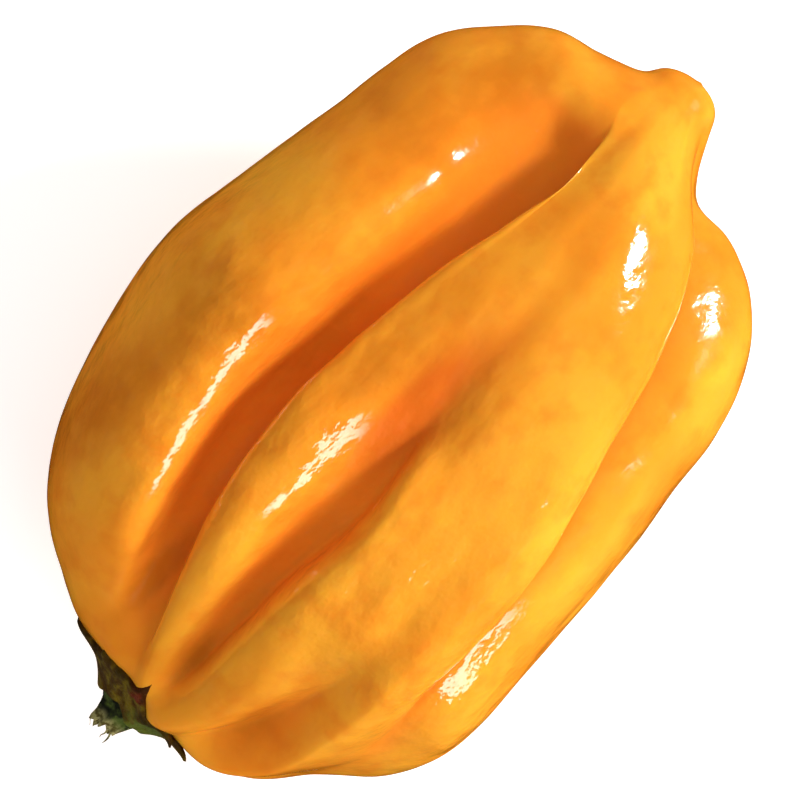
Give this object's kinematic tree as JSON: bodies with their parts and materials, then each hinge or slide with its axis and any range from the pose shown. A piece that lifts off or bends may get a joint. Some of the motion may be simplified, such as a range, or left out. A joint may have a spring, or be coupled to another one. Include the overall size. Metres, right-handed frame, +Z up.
{
  "type": "chilli pepper",
  "caption": "Broad, lobed orange chilli pepper of the habanero kind lying on its side, with deep lengthwise furrows, a blunt nub at its tip, a green calyx and a short torn stem.",
  "frame": {"origin": "on the ground, under the middle of the pepper's bounding box", "axes": "+X along the pod from its stem to its tip, +Z up from the ground it lies on"},
  "size_m": [0.0559, 0.0356, 0.0291],
  "materials": {
    "pod_skin": "glossy waxy skin, orange-yellow, redder in the furrows",
    "calyx_green": "matt, dark olive green, drying to brown at its edge",
    "stem_green": "matt, dark green, with pale torn fibres at its end"
  },
  "bodies": {
    "root": {"pod": "pod_skin", "calyx": "calyx_green", "stem": "stem_green"}
  },
  "joints": []
}
